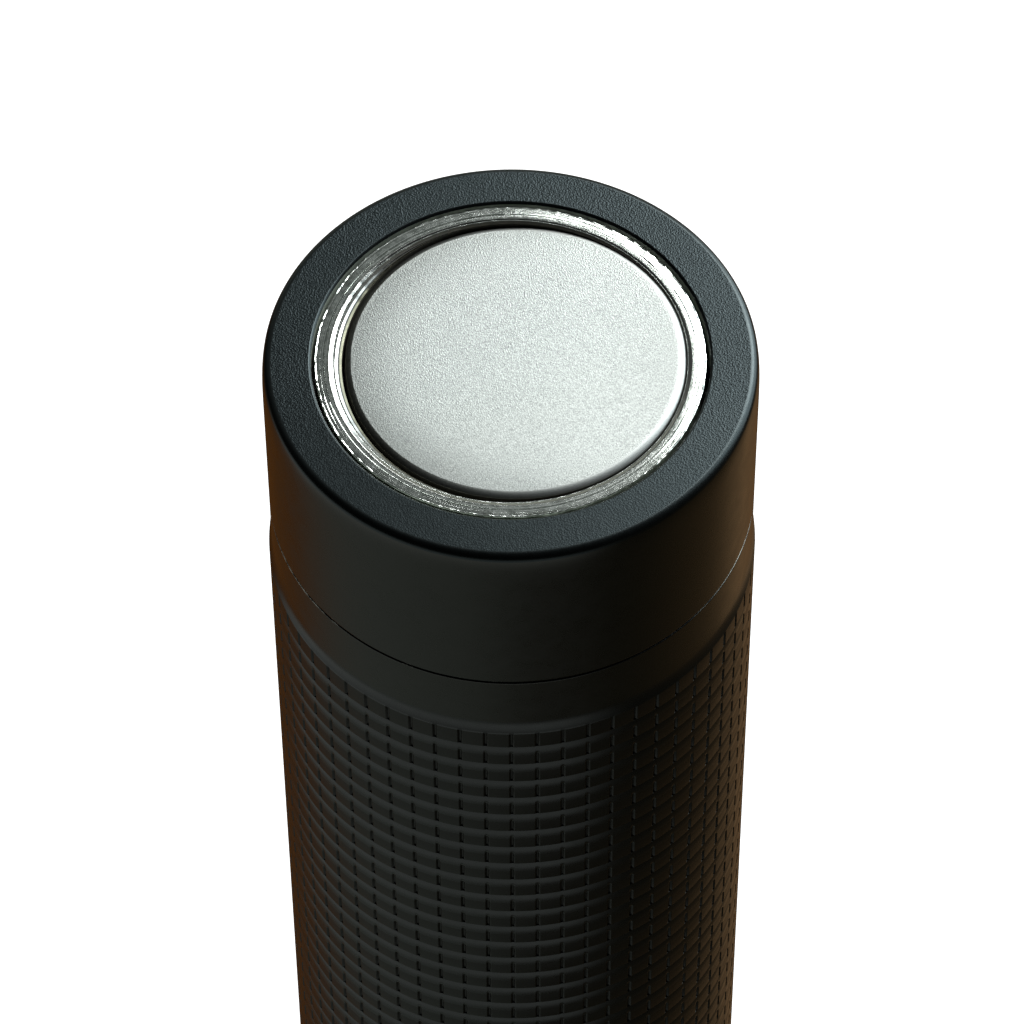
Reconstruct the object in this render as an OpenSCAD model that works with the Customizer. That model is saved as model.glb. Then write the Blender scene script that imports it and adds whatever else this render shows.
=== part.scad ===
// Push-pull zoom flashlight, standing on its bezel with the tail up.
// Heights along the light are given as t, the distance from the tail end face,
// so z = total_l - t. All lengths are in millimetres.

/* [Body] */
// Diameter of the tail cap and of the smooth body sections
body_d = 29; // [28.8:0.1:30]
// Length over all with the head pushed in
total_l = 130; // [129:0.5:132]
// Bore of the battery compartment
bore_d = 22.6; // [22.4:0.1:22.8]

/* [Tail cap] */
// Height of the tail cap down to the seam
cap_h = 12.2; // [12.1:0.05:12.3]
// Width of the seam between tail cap and body
seam_gap = 0.38; // [0.3:0.02:0.42]
// Radius of the rounded rim of the end face
rim_r = 0.55; // [0.4:0.05:0.6]
// Diameter of the magnet cup, seen as a bare metal ring
cup_d = 22.86; // [22.86:0.02:22.96]
// Diameter of the magnet disc
magnet_d = 20; // [19.8:0.1:20]
// Height of the magnet disc
magnet_h = 2.14; // [2.04:0.02:2.18]
// Sideways offset of the magnet in its cup
magnet_off = 0.16; // [0:0.02:0.16]
// Depth of the ring below the end face
ring_drop = 0.2; // [0.15:0.05:0.25]

/* [Thread] */
// Pitch of the tail thread
thread_p = 1; // [0.9:0.1:1.1]
// Half of the tail thread's depth
thread_e = 0.22; // [0.18:0.01:0.24]
// Radial play between the two threads
thread_play = 0.17; // [0.14:0.01:0.2]

/* [Grip] */
// Start of the grip below the tail end face
grip_start = 16.35; // [16:0.05:17]
// Number of ring grooves
grip_rows = 32; // [24:1:32]
// Spacing of the ring grooves
grip_p = 1.8; // [1.7:0.01:1.81]
// Depth of a ring groove
grip_depth = 0.11; // [0.06:0.01:0.2]
// How far the grip stands proud of the smooth body
grip_proud = 0.19; // [0.1:0.01:0.22]

/* [Switch] */
// Distance of the switch from the tail end face
switch_t = 88; // [87:0.5:88.5]
// Diameter of the button top
button_d = 6.6; // [6:0.1:6.6]

/* [Zoom head] */
// Diameter of the sliding neck
neck_d = 25.8; // [25.6:0.1:25.8]
// Sliding play on the radius
neck_play = 0.05; // [0.04:0.01:0.08]
// Travel of the head
zoom_travel = 12; // [8:0.5:12]
// Diameter of the head
head_d = 33; // [32.6:0.1:34]
// Diameter of the lens flange
lens_d = 27.2; // [27:0.1:27.2]
// Height of the lens dome
lens_h = 6.4; // [5:0.1:6.6]

/* [Hidden] */

$fn = 96;
L = total_l;
R = body_d / 2;
bore_r = bore_d / 2;
crest_r = R + grip_proud;
neck_r = neck_d / 2;
slide_r = neck_r + neck_play;
head_r = head_d / 2;
cup_r = cup_d / 2;

// tail thread: mean radius and the stretch that each side covers
thread_r = 12.75;
male_t0 = 6.45;
male_t1 = 9.6;
female_t0 = 6.25;
female_t1 = 9.9;
tube_top = 6.35;

// grip: length of the slopes at its ends, upper edge of each groove, and end of the crest
grip_slope = 0.99;
function groove_t(k) = grip_start + grip_slope + 1.36 + k * grip_p;
grip_end = groove_t(grip_rows - 1) + grip_p;

// one groove under a sharp edge: steep short wall, then a long slope back to the crest
function groove(r, t) = [[r, t], [r - grip_depth, t + 0.03], [r, t + 0.63]];

// zoom head stations
shoulder_t = 95;
neck_end_t = 116;
pin_t = 98.1;
seat_t = 121.1;

// points of a quarter round from the face to the side, about a centre
function round_over(rc, tc, r, n = 6) =
  [for (i = [0 : n]) [rc + r * sin(90 * i / n), tc - r * cos(90 * i / n)]];

// solid of revolution from [radius, t] points
module lathe(p) rotate_extrude() polygon([for (q = p) [q[0], L - q[1]]]);

// straight round bar along the axis from t0 to t1, at x and y
module bar(r, t0, t1, x = 0, y = 0)
  translate([x, y, L - t1]) cylinder(r = r, h = t1 - t0);

// radial round bar on the front side at station t, between two distances from the axis
module front_bar(r, t, y0, y1)
  translate([0, -y0, L - t]) rotate([90, 0, 0]) cylinder(r = r, h = y1 - y0);

// radial round bar on the back side
module back_bar(r, t, y0, y1)
  translate([0, y0, L - t]) rotate([-90, 0, 0]) cylinder(r = r, h = y1 - y0);

// block with its lowest corner at x0, y0 and from t0 to t1
module block(x0, x1, y0, y1, t0, t1)
  translate([x0, y0, L - t1]) cube([x1 - x0, y1 - y0, t1 - t0]);

// ring seal of round section about the axis at station t
module seal(rc, r, t)
  translate([0, 0, L - t]) rotate_extrude() translate([rc, 0]) circle(r = r, $fn = 32);

// right-hand round-crested thread as one solid bar from t0 to t1
module thread_bar(play, t0, t1, sides = 40, per_turn = 8) {
  z0 = L - t1;
  h = t1 - t0;
  n = ceil(h / thread_p * per_turn);
  function at(i, z) =
    let (a = 360 * i / sides,
         r = thread_r + play + thread_e * cos(360 * (L - z) / thread_p + a))
    [r * cos(a), r * sin(a), z];
  polyhedron(
    points = [for (j = [0 : n], i = [0 : sides - 1]) at(i, z0 + h * j / n)],
    faces = concat(
      [[for (i = [0 : sides - 1]) i]],
      [[for (i = [sides - 1 : -1 : 0]) n * sides + i]],
      [for (j = [0 : n - 1], i = [0 : sides - 1])
        let (a = j * sides + i, b = j * sides + (i + 1) % sides)
        [a, a + sides, b]],
      [for (j = [0 : n - 1], i = [0 : sides - 1])
        let (a = j * sides + i, b = j * sides + (i + 1) % sides)
        [b, a + sides, b + sides]]),
    convexity = 10);
}

// coil spring between two stations, with half a turn lying flat at each end
module coil(r0, r1, wire, t0, t1, turns, sides = 8, per_turn = 20) {
  n = round(turns * per_turn);
  za = t0 + wire;
  zb = t1 - wire;
  flat = 0.5 / turns;
  function lift(u) = u < flat ? 0 : u > 1 - flat ? 1 : (u - flat) / (1 - 2 * flat);
  function mid(j) =
    let (u = j / n, a = 360 * turns * u, r = r0 + (r1 - r0) * u)
    [a, r, L - (za + (zb - za) * lift(u))];
  function at(j, i) =
    let (m = mid(j), b = 360 * i / sides, r = m[1] + wire * cos(b))
    [r * cos(m[0]), r * sin(m[0]), m[2] + wire * sin(b)];
  polyhedron(
    points = [for (j = [0 : n], i = [0 : sides - 1]) at(j, i)],
    faces = concat(
      [[for (i = [sides - 1 : -1 : 0]) i]],
      [[for (i = [0 : sides - 1]) n * sides + i]],
      [for (j = [0 : n - 1], i = [0 : sides - 1])
        let (a = j * sides + i, b = j * sides + (i + 1) % sides)
        [a, b, a + sides]],
      [for (j = [0 : n - 1], i = [0 : sides - 1])
        let (a = j * sides + i, b = j * sides + (i + 1) % sides)
        [b, b + sides, a + sides]]),
    convexity = 10);
}

// ---- tail ----

// screw-on cap: pocket for the magnet cup outside, contact chamber and thread inside
module tail_cap() color([0.11, 0.12, 0.13])
  difference() {
    lathe(concat(
      [[0, ring_drop + 3], [cup_r + 0.17, ring_drop + 3], [cup_r + 0.17, 0.18], [cup_r + 0.35, 0]],
      round_over(R - rim_r, rim_r, rim_r),
      [[R, cap_h - 0.04], [R - 0.04, cap_h], [13.4, cap_h], [13.3, cap_h - 0.1],
       [13.3, female_t1], [12.4, female_t1], [12.4, female_t0], [13.2, female_t0],
       [13.2, 5.5], [12.1, 5.5], [12.1, 4.25], [0, 4.25]]));
    thread_bar(thread_play, 5.9, 10.7);
  }

// steel cup that frames the magnet, with a chamfered inner edge
module magnet_cup() color([0.72, 0.71, 0.68])
  lathe([[0, ring_drop + 3], [cup_r, ring_drop + 3], [cup_r, ring_drop + 0.06],
         [cup_r - 0.06, ring_drop], [cup_r - 0.73, ring_drop], [cup_r - 1.21, ring_drop + 0.5],
         [cup_r - 1.21, ring_drop + 2.3], [0, ring_drop + 2.3]]);

// plated disc magnet with rounded edges
module tail_magnet() color([0.76, 0.77, 0.75])
  translate([magnet_off, 0.8 * magnet_off, 0])
  lathe(concat(
    [[0, ring_drop + 2.3 - magnet_h]],
    round_over(magnet_d / 2 - 0.4, ring_drop + 2.3 - magnet_h + 0.4, 0.4),
    [[magnet_d / 2, ring_drop + 2.1], [magnet_d / 2 - 0.2, ring_drop + 2.3], [0, ring_drop + 2.3]]));

// floating contact board that stays still while the cap turns over it
module tail_board() color([0.10, 0.32, 0.18])
  difference() {
    bar(11.9, 4.35, 5.35);
    for (s = [-1, 1]) bar(0.8, 4.2, 5.5, 9.6 * s, 0);
  }

module tail_spring() color([0.78, 0.68, 0.36])
  coil(6.6, 4.2, 0.45, 5.35, 10.95, 5);

// open retaining ring in the cap's inner groove
module tail_snap_ring() color([0.55, 0.55, 0.54])
  difference() {
    bar(13.1, 5.55, 6.15);
    bar(10.9, 5.4, 6.3);
    block(-1.6, 1.6, 0, 14, 5.4, 6.3);
  }

module tail_o_ring() color([0.06, 0.06, 0.06])
  seal(12.66, 0.59, 11.14);

// ---- body ----

// main body: thread and seal groove, collar, grip, switch section and sliding neck
module battery_tube() color([0.10, 0.105, 0.11])
  difference() {
    union() {
      lathe(concat(
        [[10, tube_top], [12.3, tube_top], [12.3, 10.1], [12.9, 10.1], [12.9, 10.4],
         [12.05, 10.4], [12.05, 11.85], [12.9, 11.85], [12.9, cap_h + seam_gap],
         [R - 0.1, cap_h + seam_gap], [R, cap_h + seam_gap + 0.1],
         [R, grip_start], [crest_r, grip_start + grip_slope]],
        [for (k = [0 : grip_rows - 1]) each groove(crest_r, groove_t(k))],
        [[crest_r, grip_end], [R, grip_end + grip_slope],
         [R, shoulder_t - 0.4], [R - 0.4, shoulder_t],
         [neck_r, shoulder_t],
         [neck_r, 111.6], [11.8, 111.6], [11.8, 113], [neck_r, 113],
         [neck_r, 113.7], [11.8, 113.7], [11.8, 115.1], [neck_r, 115.1],
         [neck_r, neck_end_t - 0.3], [neck_r - 0.3, neck_end_t], [10, neck_end_t]]));
      thread_bar(0, male_t0, male_t1);
    }
    // battery compartment, switch chamber and seat of the light engine
    bar(bore_r, tube_top - 1, 81.6);
    bar(10.4, 81, 92.5);
    bar(11, 92, neck_end_t + 1);
    // lead-in at the tail end
    lathe([[0, tube_top - 0.01], [bore_r + 0.3, tube_top - 0.01], [bore_r, tube_top + 0.3], [0, tube_top + 0.3]]);
    // flat, ring seat, button hole and stem hole of the switch
    front_bar(6.6, switch_t, 13.5, 16);
    front_bar(5, switch_t, 12.3, 14);
    front_bar(4.1, switch_t, 10.9, 13);
    front_bar(1.55, switch_t, 8, 12);
    // guide slot on the back of the sliding neck
    back_bar(1.05, pin_t - 0.05, 11.8, 14);
    back_bar(1.05, pin_t + zoom_travel + 0.05, 11.8, 14);
    block(-1.05, 1.05, 11.8, 14, pin_t - 0.05, pin_t + zoom_travel + 0.05);
  }

// adapter sleeve that centres the cell
module battery_sleeve() color([0.85, 0.85, 0.83])
  lathe([[9.45, 12.2], [bore_r - 0.15, 12.2], [bore_r - 0.15, 76.5], [9.45, 76.5]]);

module cell_wrap() color([0.20, 0.42, 0.62])
  lathe([[8.3, 11], [9.25, 11], [9.25, 76.1], [7.6, 76.1], [7.6, 75.95],
         [9.1, 75.95], [9.1, 11.15], [8.3, 11.15]]);

module cell_can() color([0.70, 0.70, 0.69])
  lathe([[0, 11.15], [9.08, 11.15], [9.08, 75.5], [8.83, 75.5], [8.83, 11.45], [0, 11.45]]);

module cell_roll() color([0.45, 0.33, 0.22])
  lathe([[1, 11.9], [8.8, 11.9], [8.8, 74.2], [1, 74.2]]);

module cell_insulator() color([0.92, 0.92, 0.90])
  lathe([[5.2, 75.5], [9.05, 75.5], [9.05, 75.9], [5.2, 75.9]]);

module cell_top_cap() color([0.74, 0.74, 0.72])
  lathe([[0, 74.6], [8.75, 74.6], [8.75, 75.4], [5, 75.4], [5, 76], [3, 76.2],
         [2.9, 77.2], [2.7, 77.4], [0, 77.4]]);

// ---- driver ----

module driver_retainer() color([0.30, 0.30, 0.31])
  difference() {
    bar(11.25, 79.1, 80.35);
    bar(9.9, 79, 80.5);
    for (s = [-1, 1]) bar(0.6, 79, 79.8, 10.1 * s, 0);
  }

module driver_spring() color([0.78, 0.68, 0.36])
  coil(2.4, 4.2, 0.35, 77.45, 80.4, 4, 8, 18);

module driver_board() color([0.09, 0.30, 0.17])
  bar(11.2, 80.4, 81.6);

// inductor, controller and capacitors on the front of the driver board
module driver_parts() color([0.20, 0.20, 0.21]) {
  bar(2.6, 81.6, 83.7, 0, 5.6);
  block(-2, 2, -3.2, 0.8, 81.6, 82.6);
  for (s = [-1, 1]) {
    block(s * 7 - 0.7, s * 7 + 0.7, -4.6, -2.2, 81.6, 82.7);
    block(s * 5.2 - 0.5, s * 5.2 + 0.5, 3.4, 4.6, 81.6, 82.3);
  }
}

// ---- switch ----

// metal ring around the button
module switch_ring() color([0.66, 0.66, 0.65])
  translate([0, 0, L - switch_t]) rotate([90, 0, 0])
  rotate_extrude() polygon([[3.4, 12.3], [4.97, 12.3], [4.97, 13.7], [4.77, 13.9], [3.6, 13.9], [3.4, 13.7]]);

// button with a flange below the ring and a stem to the tact switch
module switch_button() color([0.13, 0.13, 0.14])
  translate([0, 0, L - switch_t]) rotate([90, 0, 0])
  rotate_extrude() polygon(concat(
    [[0, 10.55], [1.4, 10.55], [1.4, 11.65], [3.9, 11.65], [3.9, 12.25], [button_d / 2, 12.25],
     [button_d / 2, 12.8], [2.87, 12.8], [2.87, 13.32], [button_d / 2, 13.32]],
    [for (i = [0 : 8]) [button_d / 2 * cos(90 * i / 8), 14.05 + 0.4 * sin(90 * i / 8)]]));

module button_o_ring() color([0.06, 0.06, 0.06])
  translate([0, -13.06, L - switch_t]) rotate([90, 0, 0])
  rotate_extrude() translate([3.125, 0]) circle(r = 0.25, $fn = 24);

module tact_plunger() color([0.82, 0.80, 0.74])
  front_bar(1.3, switch_t, 8.7, 10.5);

module tact_switch() color([0.16, 0.16, 0.17])
  difference() {
    block(-3, 3, -9.7, -6.5, switch_t - 3, switch_t + 3);
    front_bar(1.45, switch_t, 8, 11);
  }

module switch_board() color([0.09, 0.30, 0.17])
  block(-4, 4, -6.5, -5.5, switch_t - 4.1, switch_t + 4.1);

// plastic half round that backs the switch board, with a way through for the wires
module switch_holder() color([0.80, 0.80, 0.78])
  difference() {
    bar(10.25, 84.5, 91.6);
    block(-12, 12, -12, -5.45, 84, 92);
    bar(3.4, 84, 92, 0, 2);
    for (s = [-1, 1]) bar(0.95, 84, 92, 5.2 * s, 0);
  }

module switch_wires() color([0.75, 0.72, 0.20])
  for (s = [-1, 1]) bar(0.4, 81.6, switch_t - 4.1, 2.6 * s, -6);

// ---- light engine ----

// heat sink that screws into the front of the body
module led_pill() color([0.74, 0.74, 0.73])
  difference() {
    lathe([[9, 98], [10.95, 98], [10.95, neck_end_t + 0.05], [12.7, neck_end_t + 0.05],
           [12.7, 117], [12.5, 117.2], [0, 117.2], [0, 112.5], [9, 112.5]]);
    for (s = [-1, 1]) {
      bar(0.9, 112, 118, 5.2 * s, 0);
      bar(0.92, 114.5, 118, 0, 5.6 * s);
      bar(0.8, 116.4, 118, 10.4 * s, 0);
    }
  }

module led_board() color([0.88, 0.88, 0.87])
  difference() {
    bar(8, 117.2, 118.4);
    for (s = [-1, 1]) {
      bar(1.1, 117, 119, 0, 5.6 * s);
      bar(1, 117, 119, 8 * s, 0);
    }
  }

module led_spacer() color([0.93, 0.93, 0.92])
  difference() {
    bar(7.4, 118.4, 119.3);
    block(-2.9, 2.9, -2.9, 2.9, 118, 120);
    for (s = [-1, 1]) bar(1.1, 118, 120, 0, 5.6 * s);
  }

module led_emitter() color([0.90, 0.82, 0.35])
  block(-2.5, 2.5, -2.5, 2.5, 118.4, 119);

module led_dome() color([0.95, 0.90, 0.60])
  intersection() {
    translate([0, 0, L - 119]) sphere(r = 1.65);
    block(-3, 3, -3, 3, 119, 122);
  }

module led_screws() color([0.70, 0.70, 0.69])
  for (s = [-1, 1]) difference() {
    union() {
      bar(0.88, 114.7, 119.3, 0, 5.6 * s);
      bar(1.7, 119.3, 120.3, 0, 5.6 * s);
    }
    block(-0.2, 0.2, 5.6 * s - 1.1, 5.6 * s + 1.1, 119.8, 121);
    block(-1.1, 1.1, 5.6 * s - 0.2, 5.6 * s + 0.2, 119.8, 121);
  }

module led_wire_red() color([0.70, 0.10, 0.08])
  bar(0.65, 81.6, 117.2, 5.2, 0);

module led_wire_black() color([0.08, 0.08, 0.08])
  bar(0.65, 81.6, 117.2, -5.2, 0);

// ---- zoom head ----

module zoom_o_ring_rear() color([0.06, 0.06, 0.06])
  seal(slide_r - 0.03 - 0.55, 0.55, 112.3);

module zoom_o_ring_front() color([0.06, 0.06, 0.06])
  seal(slide_r - 0.03 - 0.55, 0.55, 114.4);

// sliding sleeve that carries the lens
module zoom_head() color([0.10, 0.105, 0.11])
  difference() {
    lathe(concat(
      [[slide_r, 95.45], [slide_r + 0.2, 95.25], [R - 0.4, 95.25], [R, 95.65], [R, 101.4],
       [R + 0.12, 102.1], [head_r - 0.12, 106.4], [head_r, 107.1]],
      [for (k = [0 : 6]) each groove(head_r, 110 + k * grip_p)],
      [[head_r, 126.6], [head_r - 0.4, 127], [lens_d / 2 + 0.1, 127], [lens_d / 2 + 0.1, seat_t],
       [12.3, seat_t], [12.3, 118.4], [slide_r, 118.4]]));
    back_bar(1.25, pin_t, 12, 16);
  }

// set screw whose plain tip runs in the guide slot
module guide_screw() color([0.20, 0.20, 0.21])
  difference() {
    union() {
      back_bar(1, pin_t, 11.95, 13.2);
      back_bar(1.22, pin_t, 13.05, 14.25);
    }
    translate([0, 13.5, L - pin_t]) rotate([-90, 0, 0]) cylinder(r = 0.75, h = 2, $fn = 6);
  }

// convex zoom lens with a flat back and a flange
module lens() color([0.85, 0.90, 0.92, 0.5])
  lathe(concat(
    [[0, seat_t], [lens_d / 2, seat_t], [lens_d / 2, seat_t + 1.6]],
    [for (i = [0 : 20]) [12.5 * cos(90 * i / 20), seat_t + 1.6 + lens_h * sin(90 * i / 20)]]));

module lens_gasket() color([0.06, 0.06, 0.06])
  seal(13.05, 0.48, seat_t + 2.1);

// front ring that clamps the lens and that the light stands on
module bezel() color([0.11, 0.115, 0.12])
  lathe([[12.6, 123.75], [lens_d / 2 + 0.05, 123.75], [lens_d / 2 + 0.05, 127.05],
         [head_r - 0.5, 127.05], [head_r - 0.3, 127.25], [head_r - 0.3, L - 0.5],
         [head_r - 0.8, L], [14.4, L], [12.6, 125.5]]);

tail_cap();
magnet_cup();
tail_magnet();
tail_board();
tail_spring();
tail_snap_ring();
tail_o_ring();
battery_tube();
battery_sleeve();
cell_wrap();
cell_can();
cell_roll();
cell_insulator();
cell_top_cap();
driver_retainer();
driver_spring();
driver_board();
driver_parts();
switch_ring();
switch_button();
button_o_ring();
tact_plunger();
tact_switch();
switch_board();
switch_holder();
switch_wires();
led_pill();
led_board();
led_spacer();
led_emitter();
led_dome();
led_screws();
led_wire_red();
led_wire_black();
zoom_o_ring_front();
zoom_o_ring_rear();
zoom_head();
guide_screw();
lens();
lens_gasket();
bezel();
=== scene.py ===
import math
import random

import bmesh
import bpy
import numpy as np
from mathutils import Matrix, Vector


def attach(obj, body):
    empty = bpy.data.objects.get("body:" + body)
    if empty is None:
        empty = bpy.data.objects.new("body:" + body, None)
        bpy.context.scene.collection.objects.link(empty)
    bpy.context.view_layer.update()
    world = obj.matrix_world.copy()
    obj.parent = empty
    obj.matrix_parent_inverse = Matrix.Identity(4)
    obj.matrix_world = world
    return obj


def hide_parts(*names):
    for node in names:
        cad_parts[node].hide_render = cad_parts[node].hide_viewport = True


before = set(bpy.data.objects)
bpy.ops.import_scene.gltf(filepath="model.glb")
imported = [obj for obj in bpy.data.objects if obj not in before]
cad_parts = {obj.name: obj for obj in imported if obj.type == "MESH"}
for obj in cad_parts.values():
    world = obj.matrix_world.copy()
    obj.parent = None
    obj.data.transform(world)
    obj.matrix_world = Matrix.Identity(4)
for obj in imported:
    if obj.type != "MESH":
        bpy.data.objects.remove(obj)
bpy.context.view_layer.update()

scene = bpy.context.scene
TOP = 130.0  # height of the tail face over the floor, mm


# ------------------------------------------------------------------ materials
def new_material(name):
    m = bpy.data.materials.new(name)
    m.use_nodes = True
    nt = m.node_tree
    nt.nodes.clear()
    out = nt.nodes.new("ShaderNodeOutputMaterial")
    shader = nt.nodes.new("ShaderNodeBsdfPrincipled")
    nt.links.new(shader.outputs[0], out.inputs[0])
    return m, nt, shader


def coords(nt):
    return nt.nodes.new("ShaderNodeTexCoord").outputs["Object"]


def noise(nt, vector, size_mm, detail=2.0, roughness=0.5):
    n = nt.nodes.new("ShaderNodeTexNoise")
    n.inputs["Scale"].default_value = 1000.0 / size_mm
    n.inputs["Detail"].default_value = detail
    n.inputs["Roughness"].default_value = roughness
    nt.links.new(vector, n.inputs["Vector"])
    return n.outputs[0]


def pips(nt, vector, size_mm):
    """Small round pips, packed at random, as blasting leaves them."""
    n = nt.nodes.new("ShaderNodeTexVoronoi")
    n.inputs["Scale"].default_value = 1000.0 / size_mm
    nt.links.new(vector, n.inputs["Vector"])
    return n.outputs["Distance"]


def rings(nt, vector, size_mm, detail=2.0):
    """Noise that depends only on the distance from the light's long axis."""
    flat = nt.nodes.new("ShaderNodeVectorMath")
    flat.operation = "MULTIPLY"
    flat.inputs[1].default_value = (1, 1, 0)
    nt.links.new(vector, flat.inputs[0])
    length = nt.nodes.new("ShaderNodeVectorMath")
    length.operation = "LENGTH"
    nt.links.new(flat.outputs[0], length.inputs[0])
    n = nt.nodes.new("ShaderNodeTexNoise")
    n.noise_dimensions = "1D"
    n.inputs["Scale"].default_value = 1000.0 / size_mm
    n.inputs["Detail"].default_value = detail
    nt.links.new(length.outputs["Value"], n.inputs["W"])
    return n.outputs[0]


def spread(nt, fac, lo, hi, a=0.3, b=0.7):
    n = nt.nodes.new("ShaderNodeMapRange")
    n.inputs["From Min"].default_value = a
    n.inputs["From Max"].default_value = b
    n.inputs["To Min"].default_value = lo
    n.inputs["To Max"].default_value = hi
    nt.links.new(fac, n.inputs["Value"])
    return n.outputs[0]


def ramp(nt, fac, stops):
    n = nt.nodes.new("ShaderNodeValToRGB")
    el = n.color_ramp.elements
    while len(el) < len(stops):
        el.new(0.5)
    for e, (p, c) in zip(el, stops):
        e.position = p
        e.color = (c[0], c[1], c[2], 1.0)
    nt.links.new(fac, n.inputs[0])
    return n.outputs[0]


def total(nt, a, b, weight=1.0):
    n = nt.nodes.new("ShaderNodeMath")
    n.operation = "MULTIPLY_ADD"
    n.inputs[1].default_value = weight
    nt.links.new(b, n.inputs[0])
    nt.links.new(a, n.inputs[2])
    return n.outputs[0]


def bump(nt, shader, height, depth_mm, strength=1.0):
    n = nt.nodes.new("ShaderNodeBump")
    n.inputs["Strength"].default_value = strength
    n.inputs["Distance"].default_value = depth_mm / 1000.0
    nt.links.new(height, n.inputs["Height"])
    nt.links.new(n.outputs[0], shader.inputs["Normal"])
    return n


def surface(name, dark, light, patch_mm, rough, grain_mm, depth_mm, metallic=0.0, specular=0.5, turned=None, detail=2.0, tint=None, blasted=False, worn=None):
    """A material with patches of two tones, a varying roughness and a grain."""
    m, nt, s = new_material(name)
    c = coords(nt)
    patches = noise(nt, c, patch_mm, 4.0, 0.6)
    if turned:
        patches = spread(nt, total(nt, patches, rings(nt, c, turned[0] * 2.4)), 0.0, 1.0, 0.6, 1.4)
    nt.links.new(ramp(nt, patches, [(0.3, dark), (0.7, light)]), s.inputs["Base Color"])
    nt.links.new(spread(nt, noise(nt, c, patch_mm * 0.37, 3.0), *rough), s.inputs["Roughness"])
    s.inputs["Metallic"].default_value = metallic
    s.inputs["Specular IOR Level"].default_value = specular
    if tint:
        s.inputs["Specular Tint"].default_value = (*tint, 1)
    height = pips(nt, c, grain_mm) if blasted else noise(nt, c, grain_mm, detail)
    if turned:
        height = total(nt, height, rings(nt, c, turned[0]), turned[1])
    grain = bump(nt, s, height, depth_mm)
    if worn:
        # the grain gets weaker toward one side
        across, start, end, low, high = worn
        sep = nt.nodes.new("ShaderNodeSeparateXYZ")
        nt.links.new(c, sep.inputs[0])
        nt.links.new(spread(nt, total(nt, sep.outputs["Y"], sep.outputs["X"], across), low, high, start / 1000, end / 1000), grain.inputs["Strength"])
    return m


anodise_face = surface("anodise_face", (0.0024, 0.0029, 0.0031), (0.0044, 0.0051, 0.0055), 1.1, (0.29, 0.33), 0.10, 0.0115, specular=0.31, tint=(0.72, 0.93, 1.0), blasted=True, worn=(0.0, -10.0, -1.0, 0.45, 1.2))
anodise_side = surface("anodise_side", (0.0046, 0.0046, 0.0030), (0.0060, 0.0060, 0.0040), 3.0, (0.26, 0.31), 0.09, 0.0015, specular=0.5, tint=(1.0, 1.0, 0.92))
anodise_grip = surface("anodise_grip", (0.0046, 0.0046, 0.0032), (0.0062, 0.0062, 0.0044), 2.0, (0.35, 0.40), 0.08, 0.003, specular=0.30, tint=(1.0, 1.0, 0.96))
anodise_band = surface("anodise_band", (0.0046, 0.0048, 0.0042), (0.0062, 0.0064, 0.0058), 2.0, (0.25, 0.30), 0.09, 0.002, specular=0.50, tint=(0.96, 1.0, 1.0))
anodise_edge = surface("anodise_edge", (0.0026, 0.0029, 0.0028), (0.0042, 0.0046, 0.0046), 0.8, (0.27, 0.32), 0.12, 0.003, specular=0.40, tint=(0.78, 0.95, 1.0))
turned_steel = surface("turned_steel", (0.36, 0.39, 0.36), (0.86, 0.89, 0.86), 0.45, (0.12, 0.165), 0.10, 0.002, metallic=1.0, turned=(0.05, 0.9))
pocket_wall = surface("pocket_wall", (0.27, 0.295, 0.25), (0.37, 0.395, 0.345), 0.6, (0.40, 0.50), 0.10, 0.004)
bright_steel = surface("bright_steel", (0.36, 0.36, 0.345), (0.45, 0.45, 0.435), 0.8, (0.12, 0.18), 0.15, 0.002, metallic=1.0)
# painted reflection: a warm brown tint on the steel of the cup's lowest lip, standing in for the brown surroundings it
# reflects
steel_painted_warm_reflection = surface("steel_painted_warm_reflection", (0.155, 0.143, 0.104), (0.215, 0.20, 0.148), 0.8, (0.16, 0.24), 0.15, 0.003, metallic=1.0)
nickel = surface("blasted_nickel", (0.285, 0.295, 0.288), (0.545, 0.56, 0.546), 0.10, (0.47, 0.55), 0.08, 0.011, metallic=1.0, blasted=True, worn=(-0.5, -5.0, 4.4, 0.42, 1.5))


def painted_shade_nickel(name):
    """Plating on the rounded edge of the magnet, with painted shade: its colour darkens toward -X, the edge's shadowed
    side.
    """
    m, nt, sh = new_material(name)
    c = coords(nt)
    sep = nt.nodes.new("ShaderNodeSeparateXYZ")
    nt.links.new(c, sep.inputs[0])
    # painted shade: dark (0.05) toward -X, light (0.46) toward +X
    fac = total(nt, spread(nt, sep.outputs["X"], 0.0, 0.85, -0.007, 0.004), noise(nt, c, 0.14, 4.0), 0.25)
    nt.links.new(ramp(nt, fac, [(0.05, (0.05, 0.05, 0.042)), (1.0, (0.46, 0.47, 0.46))]), sh.inputs["Base Color"])
    nt.links.new(spread(nt, noise(nt, c, 0.10, 3.0), 0.42, 0.48), sh.inputs["Roughness"])
    sh.inputs["Metallic"].default_value = 1.0
    bump(nt, sh, noise(nt, c, 0.10), 0.003)
    return m


nickel_edge_painted_shade = painted_shade_nickel("nickel_edge_painted_shade")
# painted shade: a dark, dull stand-in for steel and nickel in the shaded gap (the cup's bore wall, the dark lines
# between its slope strips and the magnet's side)
painted_shade_steel = surface("painted_shade_steel", (0.045, 0.042, 0.033), (0.070, 0.066, 0.052), 0.5, (0.45, 0.55), 0.10, 0.004)
bare_thread = surface("thread_anodise", (0.010, 0.010, 0.011), (0.020, 0.020, 0.021), 0.6, (0.30, 0.42), 0.12, 0.004)

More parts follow.
